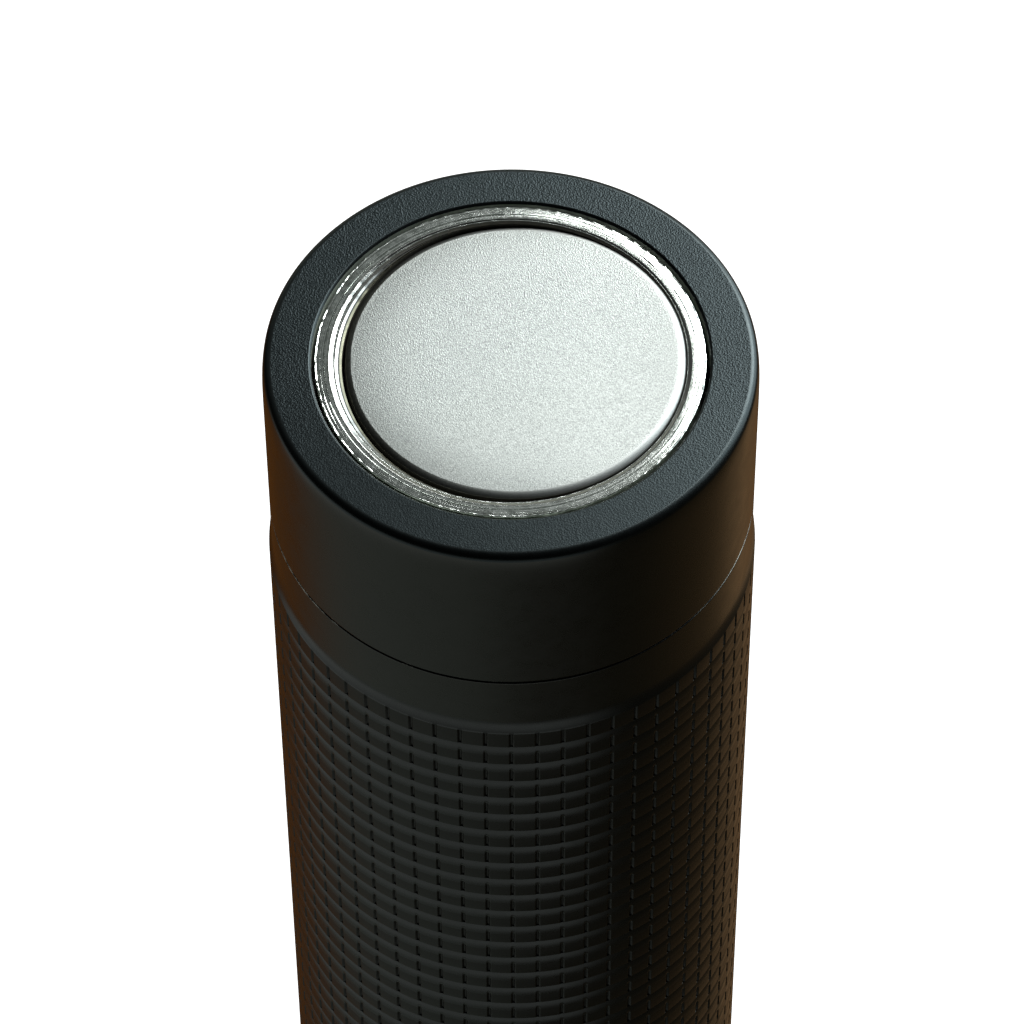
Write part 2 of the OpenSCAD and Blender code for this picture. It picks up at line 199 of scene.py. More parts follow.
seal_rubber = surface("seal_rubber", (0.010, 0.010, 0.010), (0.020, 0.020, 0.021), 0.9, (0.45, 0.60), 0.08, 0.006)
button_rubber = surface("button_rubber", (0.012, 0.012, 0.013), (0.020, 0.020, 0.022), 0.6, (0.60, 0.75), 0.09, 0.015)
satin_steel = surface("satin_steel", (0.46, 0.46, 0.45), (0.58, 0.58, 0.56), 0.7, (0.24, 0.36), 0.10, 0.005, metallic=1.0)
dark_steel = surface("dark_steel", (0.035, 0.035, 0.037), (0.065, 0.065, 0.068), 0.5, (0.30, 0.42), 0.10, 0.006, metallic=1.0)
gold = surface("spring_gold", (0.60, 0.42, 0.16), (0.80, 0.60, 0.27), 0.5, (0.18, 0.28), 0.10, 0.004, metallic=1.0)
board_green = surface("board_green", (0.006, 0.060, 0.026), (0.012, 0.100, 0.045), 0.9, (0.30, 0.45), 0.25, 0.020, turned=(0.7, 0.5))
sleeve_plastic = surface("sleeve_plastic", (0.58, 0.58, 0.55), (0.70, 0.70, 0.67), 2.5, (0.40, 0.52), 0.20, 0.010)
wrap_blue = surface("wrap_blue", (0.022, 0.100, 0.250), (0.035, 0.150, 0.330), 4.0, (0.18, 0.28), 0.60, 0.020)
can_steel = surface("can_steel", (0.50, 0.50, 0.48), (0.64, 0.64, 0.61), 1.2, (0.20, 0.32), 0.15, 0.004, metallic=1.0)
foil_core = surface("foil_core", (0.20, 0.10, 0.05), (0.42, 0.27, 0.15), 1.0, (0.35, 0.50), 0.20, 0.010, metallic=0.8, turned=(0.25, 1.0))
paper_white = surface("paper_white", (0.70, 0.70, 0.67), (0.82, 0.82, 0.79), 0.5, (0.70, 0.85), 0.12, 0.015)
chip_black = surface("chip_black", (0.012, 0.012, 0.013), (0.028, 0.028, 0.030), 0.8, (0.50, 0.65), 0.10, 0.010)
plunger_ivory = surface("plunger_ivory", (0.60, 0.56, 0.44), (0.70, 0.66, 0.54), 0.8, (0.35, 0.45), 0.20, 0.008)
turned_aluminium = surface("turned_aluminium", (0.52, 0.52, 0.51), (0.68, 0.68, 0.67), 0.9, (0.25, 0.38), 0.15, 0.008, metallic=1.0, turned=(0.12, 0.8))
mask_white = surface("mask_white", (0.70, 0.70, 0.69), (0.82, 0.82, 0.81), 1.2, (0.28, 0.38), 0.20, 0.008)
phosphor = surface("phosphor", (0.70, 0.48, 0.05), (0.85, 0.66, 0.12), 0.4, (0.45, 0.60), 0.08, 0.012)
wire_red = surface("wire_red", (0.36, 0.012, 0.010), (0.50, 0.025, 0.020), 1.0, (0.40, 0.52), 0.15, 0.010)
wire_black = surface("wire_black", (0.010, 0.010, 0.010), (0.022, 0.022, 0.022), 1.0, (0.40, 0.52), 0.15, 0.010)
wire_yellow = surface("wire_yellow", (0.46, 0.36, 0.03), (0.60, 0.49, 0.06), 1.0, (0.40, 0.52), 0.15, 0.010)


def clear_material(name, dark, light, rough, ior):
    m = surface(name, dark, light, 6.0, rough, 3.0, 0.002)
    s = next(n for n in m.node_tree.nodes if n.type == "BSDF_PRINCIPLED")
    s.inputs["Transmission Weight"].default_value = 1.0
    s.inputs["IOR"].default_value = ior
    return m


glass = clear_material("lens_glass", (0.90, 0.94, 0.93), (0.95, 0.98, 0.97), (0.010, 0.035), 1.49)
silicone = clear_material("led_silicone", (0.92, 0.88, 0.60), (0.96, 0.93, 0.72), (0.03, 0.07), 1.41)


def wear_and_glint_edge_material():
    """Black anodise with bare aluminium showing in spots, for the two sharp edges of the seam; the bare spots are real
    wear massed at the left and right sides, where they carry painted glints, and the bare metal is painted lighter
    toward -X as a painted highlight.
    """
    m, nt, s = new_material("wear_and_glint_edge")
    c = coords(nt)
    spots = noise(nt, c, 1.6, 5.0, 0.75)
    side = nt.nodes.new("ShaderNodeSeparateXYZ")
    nt.links.new(c, side.inputs[0])
    glint_side_distance = nt.nodes.new("ShaderNodeMath")
    glint_side_distance.operation = "ABSOLUTE"
    nt.links.new(side.outputs["X"], glint_side_distance.inputs[0])
    # real wear in spots plus painted glints: more bare metal where |X| is 7.5 to 12.5 mm, at the left and right sides
    mask = spread(nt, total(nt, spots, spread(nt, glint_side_distance.outputs[0], -0.14, 0.12, 0.0075, 0.0125)), 0.0, 1.0, 0.50, 0.62)
    mix = nt.nodes.new("ShaderNodeMix")
    mix.data_type = "RGBA"
    mix.inputs["A"].default_value = (0.010, 0.010, 0.010, 1)
    # painted highlight: the bare metal is light (0.72) toward -X and dark (0.17) toward +X
    bare_metal_painted_highlight = ramp(nt, spread(nt, side.outputs["X"], 0.0, 1.0, -0.006, 0.006), [(0.0, (0.72, 0.70, 0.64)), (1.0, (0.17, 0.165, 0.15))])
    nt.links.new(bare_metal_painted_highlight, mix.inputs["B"])
    nt.links.new(mask, mix.inputs["Factor"])
    nt.links.new(mix.outputs["Result"], s.inputs["Base Color"])
    nt.links.new(mask, s.inputs["Metallic"])
    nt.links.new(spread(nt, noise(nt, c, 0.3, 2.0), 0.22, 0.40), s.inputs["Roughness"])
    bump(nt, s, noise(nt, c, 0.12, 2.0), 0.006)
    return m


wear_and_glint_edge = wear_and_glint_edge_material()


# ------------------------------------------------------------------ meshes
def link(name, verts, faces, tags, materials, sharp=32.0):
    """A mesh object from points in mm, its faces tagged with a material number."""
    me = bpy.data.meshes.new(name)
    me.from_pydata([(x * 0.001, y * 0.001, z * 0.001) for x, y, z in verts], [], faces)
    for m in materials:
        me.materials.append(m)
    me.polygons.foreach_set("material_index", tags)
    bm = bmesh.new()
    bm.from_mesh(me)
    bmesh.ops.recalc_face_normals(bm, faces=bm.faces)
    bm.to_mesh(me)
    bm.free()
    ob = bpy.data.objects.new(name, me)
    scene.collection.objects.link(ob)
    shade(ob, sharp)
    return ob


def shade(ob, sharp=32.0):
    ob.data.shade_smooth()
    ob.data.set_sharp_from_angle(angle=math.radians(sharp))


def strips(rows, closed):
    """Faces between successive rows of point numbers; a row of one point is a pole."""
    faces, owner = [], []
    pairs = list(zip(range(len(rows) - 1), range(1, len(rows))))
    if closed:
        pairs.append((len(rows) - 1, 0))
    for i, j in pairs:
        a, b = rows[i], rows[j]
        n = max(len(a), len(b))
        for k in range(n):
            q = (k + 1) % n
            if len(a) == 1 and len(b) == 1:
                continue
            if len(a) == 1:
                faces.append((a[0], b[q], b[k]))
            elif len(b) == 1:
                faces.append((a[k], a[q], b[0]))
            else:
                faces.append((a[k], a[q], b[q], b[k]))
            owner.append(i)
    return faces, owner


def turned(name, profile, angles, materials, closed=True, sharp=32.0, lift=None):
    """Turns a profile of (radius, distance from the tail, material number) about the light's axis.
    A radius may be an array with one value for each angle, measured from -Y towards +X."""
    n = len(angles)
    sin, cos = np.sin(angles), np.cos(angles)
    verts, rows = [], []
    for r, t, _ in profile:
        if np.isscalar(r) and r == 0:
            rows.append([len(verts)])
            verts.append((0.0, 0.0, TOP - t))
            continue
        rr, tt = np.broadcast_to(r, (n,)), np.broadcast_to(t, (n,))
        rows.append(list(range(len(verts), len(verts) + n)))
        verts.extend(zip((rr * sin).tolist(), (-rr * cos).tolist(), (TOP - tt).tolist()))
    faces, owner = strips(rows, closed)
    return link(name, verts, faces, [profile[i][2] for i in owner], materials, sharp)


def turned_side(name, profile, n, z, materials, sharp=32.0):
    """Turns a profile of (radius, distance from the light's axis, material number) about the switch's axis, which points to -Y."""
    ang = np.linspace(0, 2 * math.pi, n, endpoint=False)
    verts, rows = [], []
    for r, h, _ in profile:
        if r == 0:
            rows.append([len(verts)])
            verts.append((0.0, -h, z))
            continue
        rows.append(list(range(len(verts), len(verts) + n)))
        verts.extend(zip((r * np.sin(ang)).tolist(), [-h] * n, (z + r * np.cos(ang)).tolist()))
    faces, owner = strips(rows, True)
    return link(name, verts, faces, [profile[i][2] for i in owner], materials, sharp)


def cut(ob, cutters, sharp=32.0):
    """Takes the cutters away from the object and leaves a plain mesh."""
    for c in cutters:
        mod = ob.modifiers.new("cut", "BOOLEAN")
        mod.operation = "DIFFERENCE"
        mod.solver = "MANIFOLD"
        mod.object = c
    bpy.context.view_layer.update()
    dg = bpy.context.evaluated_depsgraph_get()
    made = bpy.data.meshes.new_from_object(ob.evaluated_get(dg))
    ob.modifiers.clear()
    old = ob.data
    ob.data = made
    bpy.data.meshes.remove(old)
    for c in cutters:
        me = c.data
        bpy.data.objects.remove(c)
        bpy.data.meshes.remove(me)
    shade(ob, sharp)


def place(ob, body, slot, *nodes):
    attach(ob, body)
    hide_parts(*nodes)


def arc(cr, ct, radius, a0, a1, n, tag):
    """Points of a rounding, angles in degrees from the radial direction towards the tail."""
    return [
        (cr + radius * math.cos(math.radians(a0 + (a1 - a0) * i / n)), ct - radius * math.sin(math.radians(a0 + (a1 - a0) * i / n)), tag)
        for i in range(n + 1)
    ]


def slotted_columns(count, first, radius):
    """Angles for a grip crossed by slots, and the share of the slot's depth at each."""
    offsets = [(-0.18, 0.0), (-0.15, 0.0), (-0.135, 0.08), (-0.048, 0.92), (0.0, 1.0), (0.048, 0.92), (0.135, 0.08), (0.15, 0.0), (0.18, 0.0)]
    pitch = 2 * math.pi / count
    width = pitch * radius
    plain = [0.18 + (width - 0.36) * f for f in (0.25, 0.5, 0.75)]
    ang, share = [], []
    for k in range(count):
        for d, w in offsets + [(p, 0.0) for p in plain]:
            ang.append(first + k * pitch + d / radius)
            share.append(w)
    return np.array(ang), np.array(share)


DEEP = 0.11  # of a ring groove: a short steep wall under a sharp edge, then a long rounded slope
GROOVE = [(-0.03, 0.0), (-0.005, 0.004), (0.005, 0.015), (0.025, DEEP - 0.008), (0.040, DEEP)]
GROOVE += [(0.04 + 0.82 * u, DEEP * (1 - u) ** 2) for u in (0.12, 0.26, 0.42, 0.60, 0.80, 1.0)]
SLOTTED = [0.85, 0.6, 0.3, 0, 0, 0, 0, 0, 0, 0.3, 1]  # share of the slot depth along a groove and its crest
FINISH = [3, 3, 3, 5, 5, 5, 5, 5, 5, 5, 3]
PITCH = 1.0  # of the tail thread


def thread(angles, t, mean, e):
    return mean + e * np.cos(2 * math.pi * t / PITCH + angles - math.pi / 2)


# battery tube: tail neck with its thread, smooth collar, slotted grip, switch land, sliding neck
SLOT_FIRST = math.radians(-0.5)
CREST, SLOT_DEPTH = 14.69, 0.15
ang, share = slotted_columns(60, SLOT_FIRST, CREST)
p = [(11.6, 6.35, 2), (12.22, 6.35, 2), (12.3, 6.43, 2)]
for i in range(45):
    t = 6.45 + 3.2 * i / 44
    w = min(1.0, (t - 6.45) / 0.4, (9.65 - t) / 0.4)
    p.append((12.3 + w * (thread(ang, t, 12.75, 0.22) - 12.3), t, 2))
p += [(12.3, 10.1, 2), (12.86, 10.1, 2), (12.9, 10.14, 2), (12.9, 10.36, 2), (12.86, 10.4, 2), (12.05, 10.4, 2), (12.05, 11.85, 2), (12.86, 11.85, 2), (12.9, 11.89, 2), (12.9, 12.36, 2)]
p += [(14.45, 12.36, 1), (14.475, 12.366, 1), (14.492, 12.38, 1), (14.5, 12.40, 0), (14.5, 12.46, 0)]
p += [(14.5, 14.0, 0), (14.5, 15.4, 0), (14.5, 16.2, 0)]


def crossed(r, t, part=1.0, tag=3):
    return (np.minimum(r, CREST - SLOT_DEPTH * part * share), t, tag)


p += [crossed(14.5 + 0.19 * (i / 10) ** 2, 16.35 + 0.097 * i, 0.0, 5) for i in range(11)]
p += [crossed(CREST, 17.345)]
for k in range(32):
    p += [crossed(CREST - d, 18.70 + 1.8 * k + o, part, tag) for (o, d), part, tag in zip(GROOVE, SLOTTED, FINISH)]
p += [crossed(CREST, 76.28), crossed(CREST - 0.01, 76.32)]
p += [crossed(14.5 + 0.18 * (1 - i / 10) ** 2, 76.32 + 0.095 * i, 0.0, 5) for i in range(1, 11)]
p += [(14.5, 77.5, 0)]
p += [(14.5, t, 0) for t in (80.0, 82.5, 85.0, 87.0, 89.0, 91.0, 93.5)]
p += arc(14.1, 94.6, 0.4, 0, -90, 6, 0)
p += [(12.95, 95.0, 0), (12.9, 95.05, 2), (12.9, 97.0, 2), (12.9, 104.0, 2), (12.9, 111.5, 2), (12.86, 111.58, 2), (11.8, 111.6, 2), (11.8, 113.0, 2), (12.86, 113.02, 2), (12.9, 113.1, 2), (12.9, 113.6, 2), (12.86, 113.68, 2), (11.8, 113.7, 2), (11.8, 115.1, 2), (12.86, 115.12, 2), (12.9, 115.2, 2), (12.9, 115.7, 2), (12.6, 116.0, 2), (11.15, 116.0, 2), (11.0, 115.85, 2), (11.0, 92.0, 2), (10.4, 92.0, 2), (10.4, 81.6, 2), (11.3, 81.6, 2), (11.3, 6.65, 2)]
tube = turned("grip_tube", p, ang, [anodise_side, wear_and_glint_edge, bare_thread, anodise_grip, anodise_grip, anodise_band])
recess = turned_side("recess", [(0, 9.9, 0), (1.55, 9.9, 0), (1.55, 10.9, 0), (4.1, 10.9, 0), (4.1, 12.3, 0), (5.0, 12.3, 0), (5.0, 13.42, 0), (5.08, 13.5, 0), (6.6, 13.5, 0), (6.6, 16.0, 0), (0, 16.0, 0)], 96, TOP - 88, [anodise_side])
side = [(1.05 * math.cos(a), 1.05 * math.sin(a)) for a in np.linspace(0, math.pi, 25)]
outline = [(x, TOP - 98.05 + z) for x, z in side] + [(-x, TOP - 110.15 - z) for x, z in side]
count = len(outline)
guide = link(
    "guide",
    [(x, 11.8, z) for x, z in outline] + [(x, 14.6, z) for x, z in outline],
    [tuple(range(count)), tuple(range(count, 2 * count))] + [(k, (k + 1) % count, count + (k + 1) % count, count + k) for k in range(count)],
    [0] * (count + 2),
    [anodise_side],
)
cut(tube, [recess, guide])
place(tube, "body", "black_anodise", "battery_tube")

# tail cap: pocket for the magnet, grained end face, rounded rim, skirt with the inner thread
even = np.linspace(0, 2 * math.pi, 360, endpoint=False)
p = [(0, 3.2, 2), (11.6, 3.2, 5), (11.6, 0.15, 1), (11.607, 0.115, 1), (11.63, 0.08, 1), (11.68, 0.036, 1), (11.71, 0.014, 1), (11.735, 0.002, 1), (11.75, 0.0, 0), (11.79, 0.0, 0), (12.4, 0.0, 0), (13.2, 0.0, 0), (13.9, 0.0, 0)]
p += [(r, t, 1) for r, t, _ in arc(13.95, 0.47, 0.47, 90, 8.8, 12, 1)]
p += [(14.5 - 0.085 * math.exp(-(t - 0.398) / 0.55), t, 4) for t in (0.45, 0.52, 0.62, 0.75, 0.95, 1.2, 1.6, 2.0, 2.6, 3.4)]
p += [(14.5, 6.0, 4), (14.5, 9.0, 4), (14.5, 12.09, 4), (14.5, 12.15, 3), (14.493, 12.178, 3), (14.475, 12.194, 3), (14.45, 12.2, 2), (13.42, 12.2, 2), (13.3, 12.1, 2), (13.3, 9.9, 2)]
for i in range(45):
    t = 9.88 - 3.6 * i / 44
    w = min(1.0, (9.88 - t) / 0.4, (t - 6.28) / 0.4)
    p.append((13.2 + w * (thread(even, t, 12.92, 0.22) - 13.2), t, 2))
p += [(13.2, 6.25, 2), (13.2, 5.5, 2), (12.1, 5.5, 2), (12.1, 4.25, 2), (0, 4.25, 2)]
cap = turned("cap_shell", p, even, [anodise_face, anodise_edge, bare_thread, wear_and_glint_edge, anodise_side, pocket_wall], closed=False)
place(cap, "tail_cap", "black_anodise", "tail_cap")

# rim of the magnet's cup: burred outer edge, turned flat, polished inner slope
rng = np.random.default_rng(11)
fine = np.linspace(0, 2 * math.pi, 720, endpoint=False)


def smooth_noise(n, width):
    x = rng.standard_normal(n)
    k = np.exp(-0.5 * (np.arange(-4 * width, 4 * width + 1) / width) ** 2)
    x = np.real(np.fft.ifft(np.fft.fft(x) * np.fft.fft(np.roll(np.pad(k / k.sum(), (0, n - len(k))), -4 * width))))
    return x / x.std()


burr = 0.012 * smooth_noise(720, 2) + 0.010 * smooth_noise(720, 1)
burr_in = 0.007 * smooth_noise(720, 2)
left = np.clip(1.25 * np.cos(fine + math.radians(85)) - 0.25, 0.0, 1.0)
top = 10.545 - 0.04 * np.clip(np.sin(fine), 0.0, 1.0) + burr_in
foot = 0.209 + 0.42 * (top - 10.31)
ledge = 10.325 + 0.145 * np.clip(-np.cos(fine), 0.0, 1.0) ** 0.7
drop = 0.209 + 0.42 * (top - ledge)
out = 0.05 * np.clip(-np.cos(fine), 0.0, 1.0) - 0.035 * np.clip(np.sin(fine), 0.0, 1.0)
bead = 0.2 - np.clip(0.006 + 0.007 * smooth_noise(720, 1), 0.0, 0.02)
p = [(0, 3.2, 0), (11.40 + out, 3.2, 0), (11.40 + out, 0.30, 0), (11.395 + out + 0.4 * burr, 0.235, 0), (11.38 + out + 0.7 * burr, bead + 0.012, 0), (11.35 + out + burr, bead, 0), (11.315 + out + 0.7 * burr, 0.2, 0)]
for r in (11.27, 11.165, 11.06, 10.965):
    ridge = np.clip(0.5 + 0.6 * smooth_noise(720, 12), 0.0, 1.8)
    p += [(r, 0.2 + 0.0010 * rng.standard_normal(), 0), (r - 0.035, 0.2 + 0.0010 * rng.standard_normal(), 0), (r - 0.06, 0.2 - 0.004 * ridge, 0), (r - 0.085, 0.2 + 0.001 * ridge, 0)]
p += [(10.872, 0.1985, 0), (10.842, 0.2050, 0), (10.81, 0.2045 + 0.0008 * smooth_noise(720, 8), 0)]
p += [(top + 0.10, 0.2045, 0), (top + 0.04, 0.2058, 1), (top, 0.209, 1)]
p += [(top + f * (ledge + 0.014 - top), 0.209 + f * (drop - 0.209), 1) for f in (0.18, 0.55, 0.88)]
# rows tagged 3 carry painted shade: the little step under the ledge, the dark line between the slope strips and the
# bore wall
p += [(ledge + 0.014, drop, 0), (ledge + 0.004, drop + 0.0006, 0), (ledge - 0.033 - 0.05 * left, drop + 0.0012, 0), (ledge - 0.039 - 0.05 * left, drop + 0.0016, 3), (ledge - 0.046 - 0.05 * left, drop + 0.008, 3)]
p += [(10.285 - 0.075 * left, foot + 0.040, 1), (10.285 - 0.09 * left, foot + 0.040 + 0.006 * left, 1), (10.285 - 0.215 * left, foot + 0.040 + 0.058 * left, 1), (10.285 - 0.23 * left, foot + 0.040 + 0.066 * left, 3)]
p += [(10.285 - 0.32 * left, foot + 0.04 + 0.135 * left, 2), (10.285 - 0.335 * left, foot + 0.04 + 0.144 * left, 2), (10.285 - 0.455 * left, foot + 0.045 + 0.21 * left, 2), (10.285 - 0.47 * left, foot + 0.055 + 0.23 * left, 3)]
p += [(10.285 - 0.47 * left, 1.3, 3), (10.285 - 0.47 * left, 2.5, 3), (0, 2.5, 0)]
ring = turned("magnet_ring", p, fine, [turned_steel, bright_steel, steel_painted_warm_reflection, painted_shade_steel], closed=False)
place(ring, "tail_cap", "bare_steel", "magnet_cup")

# disc magnet, a little off centre in its cup
round_disc = np.linspace(0, 2 * math.pi, 256, endpoint=False)


def crown(r):
    x, y = r * np.sin(round_disc), -r * np.cos(round_disc)
    reach = np.hypot(x - 0.3, y + 0.1)
    fall = 0.15 * (1 - np.clip(np.sin(round_disc), 0.0, 1.0)) * (1 + 0.4 * np.clip(-np.cos(round_disc), 0.0, 1.0))
    return 0.26 + fall * np.maximum(0.0, (reach - 5.5) / 4.1) ** 3 - 0.065 * np.clip((x - 4.5) / 5, 0.0, 1.0) ** 2


p = [(0, 0.26, 0)] + [(r, crown(r), 0) for r in (2.5, 5.0, 6.0, 7.0, 7.6, 8.2, 8.7, 9.1, 9.35)]
start = 9.47 + 0.20 * np.clip(-np.cos(round_disc), 0.0, 1.0)
p += [(start, crown(start), 0)]
bulge = 0.587 + 0.14 * np.clip(np.cos(round_disc), 0.0, 1.0) + 0.09 * np.clip(np.sin(round_disc), 0.0, 1.0)
for a in (8, 13, 18, 23, 28, 33, 38, 43):
    p.append((start + bulge * math.sin(math.radians(a)), crown(start) + bulge * (1 - math.cos(math.radians(a))), 1))
side = start + 0.682 * bulge
low = crown(start) + 0.269 * bulge
# the magnet's side below its rounding carries painted shade
p += [(side + 0.015, low + 0.03, 2), (side + 0.035, low + 0.09, 2), (side + 0.045, low + 0.16, 2), (side + 0.05, low + 0.24, 2)]
p += [(side + 0.05, 2.2, 2), (side - 0.02, 2.5, 2), (0, 2.5, 0)]
disc = turned("magnet_disc", p, round_disc, [nickel, nickel_edge_painted_shade, painted_shade_steel], closed=False)
disc.data.transform(Matrix.Translation((0.00026, 0.00015, 0)))
place(disc, "tail_cap", "nickel", "tail_magnet")

# zoom head: sleeve, flare and slotted front grip
head_ang, head_share = slotted_columns(66, SLOT_FIRST, 16.5)
HEAD = 16.5


def head_crossed(r, t, part, tag):
    return (np.minimum(r, HEAD - SLOT_DEPTH * part * head_share), t, tag)


p = [(13.05, 95.25, 1), (14.2, 95.25, 0)] + [(r, t, 0) for r, t, _ in arc(14.2, 95.55, 0.3, 90, 0, 5, 0)]
p += [(14.5, 97.0, 0), (14.5, 99.2, 0), (14.5, 101.2, 0)]
for i in range(1, 9):
    f = i / 8
    s = f * f * (3 - 2 * f)
    p.append((14.5 + 2.0 * (0.65 * f + 0.35 * s), 101.4 + 5.7 * f, 0))
p += [(16.5, 107.4, 0), (16.5, 108.6, 0)]
for k in range(7):
    for i, (o, d) in enumerate(GROOVE):
        inside = not (k == 0 and i < 3) and not (k == 6 and i > 6)
        p.append(head_crossed(HEAD - d, 110 + 1.8 * k + o, SLOTTED[i] if inside else 0.0, FINISH[i]))
p += [(16.5, 123.0, 0)] + [(r, t, 0) for r, t, _ in arc(16.1, 126.6, 0.4, 0, -90, 6, 0)]
p += [(13.8, 127.0, 1), (13.7, 126.9, 1), (13.7, 121.1, 1), (12.3, 121.1, 1), (12.3, 118.4, 1), (12.95, 118.4, 1), (12.95, 95.35, 1)]
head = turned("head_shell", p, head_ang, [anodise_side, bare_thread, anodise_side, anodise_grip, anodise_grip, anodise_band])
hole = turned_side("hole", [(0, 12.4, 0), (1.25, 12.4, 0), (1.25, 14.30, 0), (1.75, 14.8, 0), (1.75, 15.5, 0), (0, 15.5, 0)], 48, TOP - 98.1, [anodise_side])
hole.data.transform(Matrix.Rotation(math.pi, 4, "Z"))
cut(head, [hole])
place(head, "zoom_head", "black_anodise", "zoom_head")

# bezel: threaded spigot, flange with a stepped inner cone
p = [(12.6, 123.75, 1), (13.55, 123.75, 1), (13.65, 123.85, 1), (13.65, 127.05, 1), (16.05, 127.05, 1)]
p += [(r, t, 0) for r, t, _ in arc(16.05, 127.2, 0.15, 90, 0, 3, 0)]
p += [(16.2, 128.3, 0), (16.08, 128.42, 0), (16.08, 128.7, 0), (16.2, 128.82, 0), (16.2, 129.4, 0)]
p += [(16.12, 129.66, 0), (15.94, 129.88, 0), (15.7, 130.0, 0), (14.5, 130.0, 0), (14.38, 129.94, 0)]
for i in range(1, 6):
    f = i / 6
    rr, tt = 14.38 - 1.76 * f, 129.94 - 4.4 * f
    p += [(rr + 0.02, tt + 0.06, 0), (rr - 0.06, tt + 0.02, 0), (rr - 0.06, tt - 0.10, 0), (rr + 0.0, tt - 0.16, 0)]
p += [(12.6, 125.45, 0), (12.6, 123.85, 1)]
bezel = turned("front_bezel", p, np.linspace(0, 2 * math.pi, 256, endpoint=False), [anodise_side, bare_thread])
place(bezel, "zoom_head", "black_anodise", "bezel")

# lens: flange, aspheric front, flat back with a ground edge
p = [(0, 121.1, 0), (6.0, 121.1, 0), (12.0, 121.1, 0), (13.45, 121.1, 0), (13.6, 121.25, 0), (13.6, 122.55, 0), (13.45, 122.7, 0), (12.5, 122.7, 0)]
for i in range(1, 25):
    a = math.pi / 2 * i / 24
    p.append((12.5 * math.cos(a) if i < 24 else 0, 122.7 + 6.4 * math.sin(a), 0))
lens = turned("front_lens", p, np.linspace(0, 2 * math.pi, 192, endpoint=False), [glass], closed=False, sharp=40)
place(lens, "zoom_head", "lens_glass", "lens")

# side switch: steel surround and rubber button
p = [(3.4, 12.3, 0), (4.97, 12.3, 0), (4.97, 13.62, 0), (4.93, 13.76, 0), (4.83, 13.86, 0), (4.69, 13.9, 0), (4.30, 13.9, 0), (4.26, 13.87, 0), (4.10, 13.87, 0), (4.06, 13.9, 0), (3.66, 13.9, 0), (3.52, 13.86, 0), (3.43, 13.76, 0), (3.4, 13.62, 0)]
surround = turned_side("button_surround", p, 128, TOP - 88, [satin_steel])
place(surround, "body", "switch_steel", "switch_ring")
p = [(0, 10.55, 0), (1.3, 10.55, 0), (1.4, 10.65, 0), (1.4, 11.65, 0), (3.8, 11.65, 0), (3.9, 11.75, 0), (3.9, 12.15, 0), (3.8, 12.25, 0), (3.3, 12.25, 0), (3.3, 12.8, 0), (2.87, 12.8, 0), (2.87, 13.32, 0), (3.3, 13.32, 0), (3.3, 13.95, 0), (3.26, 14.05, 0), (3.16, 14.11, 0)]
for r0, h0 in ((2.85, 14.19), (2.45, 14.27), (2.05, 14.33)):
    p += [(r0 + 0.10, h0 - 0.01, 0), (r0 + 0.05, h0 - 0.07, 0), (r0 - 0.05, h0 - 0.07, 0), (r0 - 0.10, h0 + 0.02, 0)]
p += [(1.4, 14.40, 0), (0.7, 14.44, 0), (0, 14.45, 0)]
button = turned_side("button_cap", p, 96, TOP - 88, [button_rubber])
place(button, "switch_button", "button_rubber", "switch_button")

# inner parts keep their own shapes
for node, m in {
    "tail_board": board_green, "driver_board": board_green, "switch_board": board_green,
    "tail_spring": gold, "driver_spring": gold,
    "tail_snap_ring": dark_steel, "driver_retainer": dark_steel, "guide_screw": dark_steel,
    "tail_o_ring": seal_rubber, "button_o_ring": seal_rubber, "zoom_o_ring_front": seal_rubber, "zoom_o_ring_rear": seal_rubber, "lens_gasket": seal_rubber,
    "battery_sleeve": sleeve_plastic, "switch_holder": sleeve_plastic,
    "cell_wrap": wrap_blue, "cell_can": can_steel, "cell_top_cap": can_steel, "cell_roll": foil_core, "cell_insulator": paper_white,
    "driver_parts": chip_black, "tact_switch": chip_black, "tact_plunger": plunger_ivory,
    "switch_wires": wire_yellow, "led_wire_red": wire_red, "led_wire_black": wire_black,
    "led_pill": turned_aluminium, "led_board": mask_white, "led_spacer": mask_white, "led_emitter": phosphor, "led_dome": silicone, "led_screws": satin_steel,
}.items():
    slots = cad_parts[node].data.materials
    slots.clear()
    slots.append(m)


# ------------------------------------------------------------------ stage
def floor_material():
    m = bpy.data.materials.new("floor")
    m.use_nodes = True
    nt = m.node_tree
    nt.nodes.clear()
    out = nt.nodes.new("ShaderNodeOutputMaterial")
    add = nt.nodes.new("ShaderNodeAddShader")
    glow = nt.nodes.new("ShaderNodeEmission")
    glow.inputs["Color"].default_value = (1, 1, 1, 1)
    glow.inputs["Strength"].default_value = 0.96
    matte = nt.nodes.new("ShaderNodeBsdfDiffuse")
    matte.inputs["Color"].default_value = (0.5, 0.5, 0.5, 1)
    nt.links.new(glow.outputs[0], add.inputs[0])
    nt.links.new(matte.outputs[0], add.inputs[1])
    nt.links.new(add.outputs[0], out.inputs[0])
    return m


me = bpy.data.meshes.new("floor")
me.from_pydata([(-4, -4, -0.00005), (4, -4, -0.00005), (4, 4, -0.00005), (-4, 4, -0.00005)], [], [(0, 1, 2, 3)])
me.materials.append(floor_material())
floor = bpy.data.objects.new("floor", me)
scene.collection.objects.link(floor)
floor.visible_diffuse = False
floor.visible_glossy = False
floor.visible_transmission = False
floor.visible_shadow = False

